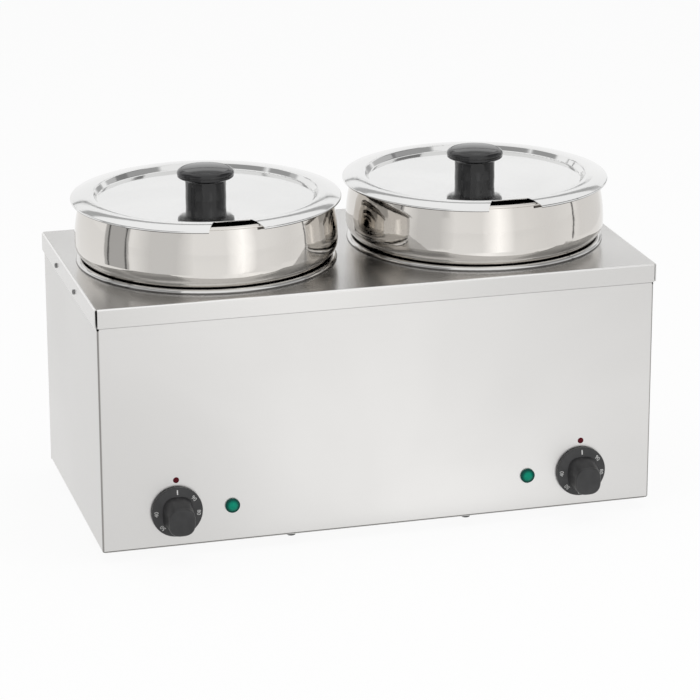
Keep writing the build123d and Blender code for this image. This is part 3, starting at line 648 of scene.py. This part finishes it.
spindle_bore = 3.05 * mm
spindle_depth = 15.5 * mm
bore_overrun = 1.0 * mm
bore_segments = 32
grip_root = 2.6 * mm
grip_half_base = 15.2 * mm
grip_half_front = 12.6 * mm
grip_half_power = 2.2
grip_top_base = 15.8 * mm
grip_top_front = 10.4 * mm
grip_top_power = 2.0
grip_foot_base = 17.0 * mm
grip_foot_front = 16.4 * mm
grip_steps = 12
grip_edge = 2.2 * mm
grip_edge_steps = 6
grip_squareness = 2.7
grip_segments = 72
to_front = Matrix.Rotation(math.pi / 2, 4, "X")


def skirt_section(radius):
    """Half section of the knob's round skirt, hollow at the back, as radius and height."""
    top = dial_rim_height + dial_cone_height
    return [(0, 0), (knob_hub_radius, 0), (knob_hub_radius, knob_hollow_depth),
            (knob_hollow_radius, knob_hollow_depth), (knob_hollow_radius, 0), (radius, 0),
            *rounded_edge(radius, dial_rim_height, knob_rim_round, knob_rim_steps),
            (dial_cone_inner, top), (0, top)]


def grip_rings(reach):
    """Height, half width, top and foot of the grip's outlines, from its root to its rounded front."""
    rings = []
    for step in range(grip_steps + 1):
        share = step / grip_steps
        rings.append((grip_root + share * (reach - grip_edge - grip_root),
                      grip_half_front + (grip_half_base - grip_half_front) * (1 - share) ** grip_half_power,
                      grip_top_front + (grip_top_base - grip_top_front) * (1 - share ** grip_top_power),
                      grip_foot_front + (grip_foot_base - grip_foot_front) * (1 - share)))
    height, half, top, foot = rings[-1]
    for step in range(1, grip_edge_steps + 1):
        angle = math.radians(90 / grip_edge_steps * step)
        inset = grip_edge * (1 - math.cos(angle))
        rings.append((height + grip_edge * math.sin(angle), half - inset, top - inset, foot - inset))
    return rings


def squared(share):
    """Sine or cosine of a round outline, pushed out to a squarer one."""
    return math.copysign(abs(share) ** (2 / grip_squareness), share)


def grip_mesh(reach):
    """Closed bar through the grip's outlines, standing up along Z, its top towards Y."""
    form = bmesh.new()
    angles = [2 * math.pi * i / grip_segments for i in range(grip_segments)]
    loops = []
    for height, half, top, foot in grip_rings(reach):
        level = (top - foot) / 2
        rise = (top + foot) / 2
        outline = [(half * squared(math.cos(a)), level + rise * squared(math.sin(a))) for a in angles]
        loops.append([form.verts.new((*point, height)) for point in outline])
    skinned(form, loops)
    form.faces.new(loops[0][::-1])
    form.faces.new(loops[-1])
    return finished_mesh("grip", form)


def moulded_knob(name, centre, radius, reach):
    """Skirt and grip joined and bored for the spindle, facing the front at the knob's place."""
    knob = linked(name, spun_mesh(name, skirt_section(radius), knob_segments))
    cut(knob, linked("grip", grip_mesh(reach)), "UNION")
    bore = [(0, -bore_overrun), (spindle_bore, -bore_overrun), (spindle_bore, spindle_depth),
            (0, spindle_depth)]
    cut(knob, linked("bore", spun_mesh("bore", bore, bore_segments)))
    knob.data.transform(Matrix.Translation(centre) @ to_front)
    coat(knob.data, black_phenolic)
    return knob


def number_mesh(number):
    """Flat figures about the origin, with the ink's thickness, as a mesh."""
    curve = bpy.data.curves.new("figures", "FONT")
    curve.body = str(number)
    curve.size = dial_number_size
    curve.extrude = dial_ink_thickness / 2
    curve.resolution_u = dial_number_curves
    curve.align_x = "CENTER"
    curve.align_y = "CENTER"
    figures = linked("figures", curve)
    mesh = evaluated_mesh(figures)
    bpy.data.objects.remove(figures)
    return mesh


def on_dial(centre, rim_radius, angle):
    """Frame on the knob's sloping skirt at an angle clockwise from the top, its Y axis pointing out."""
    slope = math.atan2(dial_cone_height, rim_radius - dial_cone_inner)
    height = dial_rim_height + (rim_radius - dial_number_radius) * math.tan(slope)
    way = Vector((math.sin(angle), 0, math.cos(angle)))
    across = Vector((math.cos(angle), 0, -math.sin(angle)))
    outward = way * math.cos(slope) + Vector((0, math.sin(slope), 0))
    facing = across.cross(outward)
    place = centre + way * dial_number_radius - Vector((0, height, 0))
    return Matrix.Translation(place) @ Matrix((across, outward, facing)).transposed().to_4x4()


weld_distance = 1e-7


def joined(name, parts):
    """One mesh from several, each moved by its own matrix."""
    form = bmesh.new()
    for mesh, matrix in parts:
        mesh.transform(matrix)
        form.from_mesh(mesh)
        bpy.data.meshes.remove(mesh)
    bmesh.ops.remove_doubles(form, verts=form.verts, dist=weld_distance)
    return finished_mesh(name, form)


for side in sides:
    low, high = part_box(f"control_knob_{side}")
    x, y, z = middle(low, high)
    knob_centre = Vector((x, high.y, z))
    knob_radius = (high.x - low.x) / 2
    knob = moulded_knob(f"knob_moulding_{side}", knob_centre, knob_radius, high.y - low.y)
    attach(knob, f"knob_{side}")
    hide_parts(f"control_knob_{side}")
    marks = []
    for place, number in enumerate(dial_numbers):
        angle = math.radians(dial_first_angle + place * dial_number_step)
        marks.append((number_mesh(number), on_dial(knob_centre, knob_radius, angle)))
    stroke = block_mesh("stroke", (-stroke_half_width, -stroke_half_length, -dial_ink_thickness / 2),
                        (stroke_half_width, stroke_half_length, dial_ink_thickness / 2))
    marks.append((stroke, on_dial(knob_centre, knob_radius, 0.0)))
    dial_mesh = joined(f"dial_numbers_{side}", marks)
    coat(dial_mesh, dial_ink)
    dial = linked(f"dial_numbers_{side}", dial_mesh)
    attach(dial, f"knob_{side}")


# Index dots: a dark red dot on the panel over each control knob, which the dial's numbers are read
# against. Each is a drop of enamel set straight on the sheet, so it stands up a little.

enamel = moulding(
    "index_enamel", dark=(0.065, 0.002, 0.006), pale=(0.105, 0.003, 0.010), rough=(0.35, 0.5),
    grain=1800.0, depth=0.006 * mm, gloss=0.12)
dot_radius = 2.9 * mm
dot_thickness = 0.25 * mm
dot_sink = 0.02 * mm
dot_segments = 36
dot_rise = 30.2 * mm
# Rounding of the dot's face, in shares of its radius and thickness.
dot_rounding = ((0.98, 0.5), (0.86, 0.86), (0.5, 1.0), (0.0, 1.0))
front_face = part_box("body_shell")[0].y
for side in sides:
    x, y, z = middle(*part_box(f"control_knob_{side}"))
    section = [(0, -dot_sink), (dot_radius, -dot_sink)]
    section += [(dot_radius * out, dot_thickness * up) for out, up in dot_rounding]
    dot_mesh = spun_mesh(f"index_dot_{side}", section, dot_segments)
    dot_mesh.transform(Matrix.Translation((x, front_face, z + dot_rise)) @ to_front)
    dot_mesh.shade_smooth()
    coat(dot_mesh, enamel)
    dot = linked(f"index_dot_{side}", dot_mesh)
    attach(dot, "housing")


# Pilot lamps: a clear green moulded lens in each panel hole, on a nylon holder that a push-on
# ring grips from behind. The lens's colour is paler in the middle and darker round its rim: a painted
# highlight.

lens_highlight = (0.002, 0.26, 0.165)
lens_dark = (0.001, 0.058, 0.045)
lens_highlight_fade = (2.6 * mm, 6.2 * mm)
lens_gloss = 0.10


def lens_material(name, node):
    """Green lens with a painted highlight, paler in the middle, and a fine moulded skin on its face."""
    x, y, z = middle(*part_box(node))
    material, tree, shader = new_material(name, metallic=0.0)
    centred = new_node(tree, "ShaderNodeMapping", {"Vector": own_place(tree), "Location": (-x, 0, -z)})
    reach = axis_distance(tree, centred.outputs["Vector"], across=(1, 0, 1))
    colour = blended_colour(tree, faded(tree, reach, *lens_highlight_fade), lens_highlight, lens_dark)
    speckle = placed_group(tree, moulded_skin, {"Scale": 700.0})["Speckle"]
    tree.links.new(colour, shader.inputs["Base Color"])
    tree.links.new(ranged(tree, speckle, low=0.10, high=0.2), shader.inputs["Roughness"])
    bumped(tree, shader, speckle, depth=0.01 * mm, strength=0.2)
    shader.inputs["Specular IOR Level"].default_value = lens_gloss
    return material


natural_nylon = moulding(
    "natural_nylon", dark=(0.62, 0.60, 0.54), pale=(0.72, 0.70, 0.65), rough=(0.4, 0.55),
    grain=1200.0, depth=0.02 * mm)
for side in sides:
    dress(lens_material(f"green_lens_{side}", f"lamp_lens_{side}"), f"lamp_lens_{side}")
    dress(natural_nylon, f"lamp_body_{side}")
    dress(zinc, f"lamp_clip_{side}")


# Mains entry: a black nylon gland with its locknut in the rear panel, a white steatite terminal
# block on the floor plate and an earth stud beside it.

black_nylon = moulding(
    "black_nylon", dark=(0.018, 0.018, 0.018), pale=(0.030, 0.030, 0.030), rough=(0.45, 0.6),
    grain=1500.0, depth=0.03 * mm)
steatite = moulding(
    "steatite", dark=(0.74, 0.72, 0.66), pale=(0.82, 0.81, 0.77), rough=(0.5, 0.7), grain=1700.0,
    depth=0.03 * mm)
dress(black_nylon, "cable_gland", "gland_locknut")
dress(steatite, "terminal_block")
dress(zinc, "terminal_screws", "earth_stud")


# Inset pots: spun stainless, polished like a mirror, with a straight lower part that hangs in the
# water, a wide belly over the deck and a rolled rim. They lift out by hand.

# Painted shade: a near-black band on the downward faces of each pot's shoulder, just above where it sits on
# the bead.
seat_shade_colour = (0.045, 0.043, 0.041)
seat_lowest = deck_level + 1.0 * mm
seat_highest = deck_level + 4.6 * mm
seat_soft = 1.0 * mm
seat_facing = (-0.30, -0.55)
for side in sides:
    mirror_pot = spun_steel(
        f"mirror_pot_{side}", f"inset_pot_{side}", light=(0.705, 0.682, 0.65), dark=(0.66, 0.634, 0.60),
        rough=(0.035, 0.085), rings=700.0, depth=0.003 * mm, wave=0.10 * mm)
    pot_tree = mirror_pot.node_tree
    seat_shade = maths(pot_tree, "MULTIPLY", band_mask(pot_tree, seat_lowest, seat_highest, seat_soft),
                 facing_mask(pot_tree, *seat_facing))
    stained(mirror_pot, seat_shade, seat_shade_colour)
    dress(mirror_pot, f"inset_pot_{side}")


# Lids: pressed stainless with a sunk flat, a raised ring and a brim turned under, cut away at the
# front for a ladle. The black phenolic knob is held by a screw and washer from below.

knob_phenolic = moulding(
    "knob_phenolic", dark=(0.008, 0.008, 0.009), pale=(0.013, 0.013, 0.014), rough=(0.06, 0.12),
    grain=1300.0, depth=0.006 * mm, gloss=0.55)
lid_stem_radius = 19.4 * mm
lid_bore_radius = 2.55 * mm
lid_bore_depth = 13.0 * mm
# Stem, flare and beaded lip, in millimetres out from the stem's side and up from its foot.
lid_cap_outline = (
    (0.0, 0.0), (-0.2, 8.0), (0.0, 15.6), (0.5, 17.3), (1.6, 18.5), (3.2, 19.2), (5.2, 19.5), (6.5, 19.9),
    (7.3, 20.6), (7.5, 21.4), (7.1, 22.1), (7.1, 22.4), (7.6, 23.0), (7.8, 23.9), (7.6, 24.9), (6.9, 26.0),
    (5.8, 26.9), (4.6, 27.5), (3.9, 27.7), (3.7, 27.4), (3.3, 27.4), (3.1, 27.75))
lid_knob_segments = 96
dome_steps = 8


def lid_knob_mesh(name, centre, dome_height):
    """Turned mushroom knob: bored stem, flared cap with a beaded lip and a crisp border round its dome."""
    section = [(0, lid_bore_depth), (lid_bore_radius, lid_bore_depth), (lid_bore_radius, 0)]
    section += [(lid_stem_radius + out * mm, rise * mm) for out, rise in lid_cap_outline]
    border_radius, border_height = section[-1]
    for step in range(1, dome_steps + 1):
        share = 1 - step / dome_steps
        section.append((border_radius * share, dome_height - (dome_height - border_height) * share ** 2))
    mesh = spun_mesh(name, section, lid_knob_segments)
    mesh.transform(Matrix.Translation(centre))
    coat(mesh, knob_phenolic)
    return mesh


# Painted shade: the lid's downward faces, under its turned brim, are given a dark colour.
underside_shade_colour = (0.20, 0.195, 0.19)
underside_facing = (-0.05, -0.45)
for side in sides:
    pressed_lid = spun_steel(
        f"pressed_lid_{side}", f"pot_lid_{side}", light=(0.82, 0.82, 0.815), dark=(0.775, 0.775, 0.77),
        rough=(0.05, 0.11), rings=600.0, depth=0.003 * mm, wave=0.03 * mm)
    stained(pressed_lid, facing_mask(pressed_lid.node_tree, *underside_facing), underside_shade_colour)
    dress(pressed_lid, f"pot_lid_{side}")
    low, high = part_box(f"lid_knob_{side}")
    x, y, z = middle(low, high)
    handle_name = f"lid_handle_{side}"
    handle = flattened(linked(handle_name, lid_knob_mesh(handle_name, (x, y, low.z), high.z - low.z)))
    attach(handle, f"lid_{side}")
    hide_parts(f"lid_knob_{side}")
    dress(zinc, f"lid_screw_{side}")


# Stage: a white paper floor, soft light from above and both sides, and plain cards round the object
# that only polished metal sees, as in a photographer's tent. None of it belongs to the object.

scene = bpy.context.scene
scene.view_settings.view_transform = "Standard"


def shown_white(tree, low, high):
    """Value that is high where the camera, a mirror or glass looks, and low for the light itself."""
    path = tree.nodes.new("ShaderNodeLightPath").outputs
    seen = maths(tree, "MAXIMUM", path["Is Camera Ray"], path["Is Glossy Ray"])
    return ranged(tree, maths(tree, "MAXIMUM", seen, path["Is Transmission Ray"]), low, high)


def staged(name, corners, faces):
    """Flat sheet of the stage."""
    mesh = bpy.data.meshes.new(name)
    mesh.from_pydata(corners, [], faces)
    sheet = linked(name, mesh)
    return sheet


floor_half = 15.0
floor_level = -0.2 * mm
paper_colour = (0.92, 0.92, 0.915, 1)
paper_rough = 0.9
paper_whiteness = 0.9
floor = staged("floor", [(x * floor_half, y * floor_half, floor_level)
                         for x, y in ((-1, -1), (1, -1), (1, 1), (-1, 1))], [(0, 1, 2, 3)])
paper, paper_tree, paper_shader = new_material("white_paper", metallic=0.0)
paper_shader.inputs["Base Color"].default_value = paper_colour
paper_shader.inputs["Roughness"].default_value = paper_rough
paper_glow = paper_tree.nodes.new("ShaderNodeEmission")
paper_mix = new_node(paper_tree, "ShaderNodeMixShader", {
    "Fac": shown_white(paper_tree, low=0.0, high=paper_whiteness), 1: paper_shader.outputs["BSDF"],
    2: paper_glow.outputs["Emission"]})
paper_tree.links.new(paper_mix.outputs["Shader"], paper_tree.nodes["Material Output"].inputs["Surface"])
coat(floor.data, paper)

sky_light = 0.6
sky_whiteness = 1.0
world = bpy.data.worlds.new("studio")
world.use_nodes = True
scene.world = world
sky = world.node_tree.nodes["Background"]
sky.inputs["Color"].default_value = (1, 1, 1, 1)
world.node_tree.links.new(shown_white(world.node_tree, sky_light, sky_whiteness), sky.inputs["Strength"])


def softbox(name, place, aim, width, height, power):
    """Rectangular soft light at a place, aimed at a point."""
    lamp = bpy.data.lights.new(name, "AREA")
    lamp.shape = "RECTANGLE"
    lamp.size = width
    lamp.size_y = height
    lamp.energy = power
    box = linked(name, lamp)
    way = Vector(aim) - Vector(place)
    box.matrix_world = Matrix.Translation(place) @ way.to_track_quat("-Z", "Y").to_matrix().to_4x4()
    box.visible_glossy = False


softbox("top_light", place=(0.1, -0.2, 2.4), aim=(0, 0, 0.2), width=2.4, height=2.2, power=20.0)
softbox("left_light", place=(-2.2, -1.5, 1.6), aim=(0, 0, 0.15), width=1.9, height=1.9, power=12.0)
softbox("right_light", place=(2.3, -1.7, 1.4), aim=(0, 0, 0.15), width=1.9, height=1.9, power=12.0)


def tent_card(name, near_side, far_side, glow, soft):
    """Card between two sides, seen only in polished surfaces, that glows evenly and fades at its sides."""
    corners = []
    for share in (0.0, soft, 1.0 - soft, 1.0):
        corners += [Vector(a).lerp(Vector(b), share) for a, b in zip(near_side, far_side)]
    card = staged(name, corners, [(0, 2, 3, 1), (2, 4, 5, 3), (4, 6, 7, 5)])
    card.visible_camera = False
    card.visible_shadow = False
    card.visible_diffuse = False
    card.visible_transmission = False
    cover = card.data.attributes.new("cover", "FLOAT", "POINT")
    for point, share in zip(cover.data, (0, 0, 1, 1, 1, 1, 0, 0)):
        point.value = share
    felt = bpy.data.materials.new(name)
    felt.use_nodes = True
    tree = felt.node_tree
    tree.nodes.clear()
    edge = new_node(tree, "ShaderNodeAttribute", attribute_name="cover")
    clear = tree.nodes.new("ShaderNodeBsdfTransparent")
    lit = new_node(tree, "ShaderNodeEmission", {"Strength": glow})
    mix = new_node(tree, "ShaderNodeMixShader", {
        "Fac": edge.outputs["Fac"], 1: clear.outputs["BSDF"], 2: lit.outputs["Emission"]})
    new_node(tree, "ShaderNodeOutputMaterial", {"Surface": mix.outputs["Shader"]})
    coat(card.data, felt)


def upright_card(name, start, end, heights, glow, soft):
    """Upright tent card between two points of the floor and two heights."""
    near_side = [(*start, level) for level in heights]
    far_side = [(*end, level) for level in heights]
    tent_card(name, near_side, far_side, glow, soft)


tent = (0, 0.62)
grey = (0.62, 1.25)
dark = (1.25, 3.2)
# Each row is a card: its name, the two points of the floor, its lower and upper heights, its glow, and the
# share of its length over which each side fades.
near_cards = (
    ("card_left", (-0.95, -0.17), (-0.95, 0.24), tent, 0.50, 0.04),
    ("card_left_front_seam", (-0.945, -0.130), (-0.945, -0.095), tent, 0.10, 0.3),
    ("card_left_rear_seam", (-0.945, 0.14), (-0.945, 0.18), tent, 0.10, 0.3),
    ("card_front_left", (-1.20, -0.26), (-0.60, -1.08), tent, 0.74, 0.3),
    ("card_front_right", (0.62, -1.04), (1.26, -0.29), tent, 0.92, 0.45),
    ("card_right_seam", (1.29, -0.31), (1.30, -0.255), tent, 0.15, 0.3),
    ("card_right", (1.32, -0.20), (1.10, 0.85), (0, 0.36), 0.90, 0.1),
    ("lamp_band", (-0.08, -1.09), (0.47, -1.09), tent, 1.48, 0.48))
wall_cards = (
    ("grey_left_rear", (-1.30, 1.25), (-1.80, 0.20), grey, 0.55, 0.1),
    ("grey_left_front", (-1.80, 0.20), (-1.10, -1.50), grey, 0.55, 0.1),
    ("grey_right_front", (1.10, -1.10), (1.80, 0.05), grey, 0.55, 0.1),
    ("grey_right_rear", (1.80, 0.00), (1.50, 1.05), grey, 0.55, 0.1),
    ("dark_left_rear", (-1.30, 1.25), (-1.80, 0.20), dark, 0.36, 0.1),
    ("dark_left_front", (-1.80, 0.20), (-1.10, -1.50), dark, 0.34, 0.1),
    ("dark_right_front", (1.10, -1.10), (1.80, 0.08), dark, 0.38, 0.1),
    ("dark_right_rear", (1.81, -0.08), (1.50, 1.05), dark, 0.24, 0.1),
    ("far_right_side", (3.95, 0.75), (3.30, 2.27), (0.36, 1.26), 0.42, 0.3),
    ("far_right", (3.28, 2.29), (2.18, 3.35), (0.40, 1.30), 0.42, 0.3),
    ("wall_seam", (-2.2, 4.0), (2.0, 4.0), (1.60, 1.70), 0.2, 0.05),
    ("ceiling_gap", (-1.8, 2.5), (2.0, 2.5), (1.52, 1.86), 0.42, 0.05))
floor_card_level = 0.3 * mm
for card in near_cards:
    upright_card(*card)
tent_card("bright_floor", [(-0.16, -1.06, floor_card_level), (-0.16, -0.17, floor_card_level)],
          [(0.34, -1.06, floor_card_level), (0.30, -0.17, floor_card_level)], glow=1.25, soft=0.45)
for card in wall_cards:
    upright_card(*card)


# Camera: it stands where the photograph was taken from. The focal length and the optical centre are given
# in pixels of the photograph, and become a lens and a shift.

camera_place = Vector((-0.7611, -2.7532, 1.0797))
camera_azimuth = math.radians(-15.41)
camera_elevation = math.radians(17.01)
camera_roll = math.radians(-0.16)
photo_size = 700
photo_focus = 3097.23
photo_centre = (342.5, 289.2)
camera = bpy.data.cameras.new("camera")
camera.sensor_width = 36.0
camera.lens = camera.sensor_width * photo_focus / photo_size
camera.shift_x = (photo_size / 2 - photo_centre[0]) / photo_size
camera.shift_y = (photo_centre[1] - photo_size / 2) / photo_size
camera_object = linked("camera", camera)
turn = (Matrix.Rotation(camera_azimuth, 4, "Z") @ Matrix.Rotation(math.pi / 2 - camera_elevation, 4, "X")
        @ Matrix.Rotation(camera_roll, 4, "Z"))
camera_object.matrix_world = Matrix.Translation(camera_place) @ turn
scene.camera = camera_object
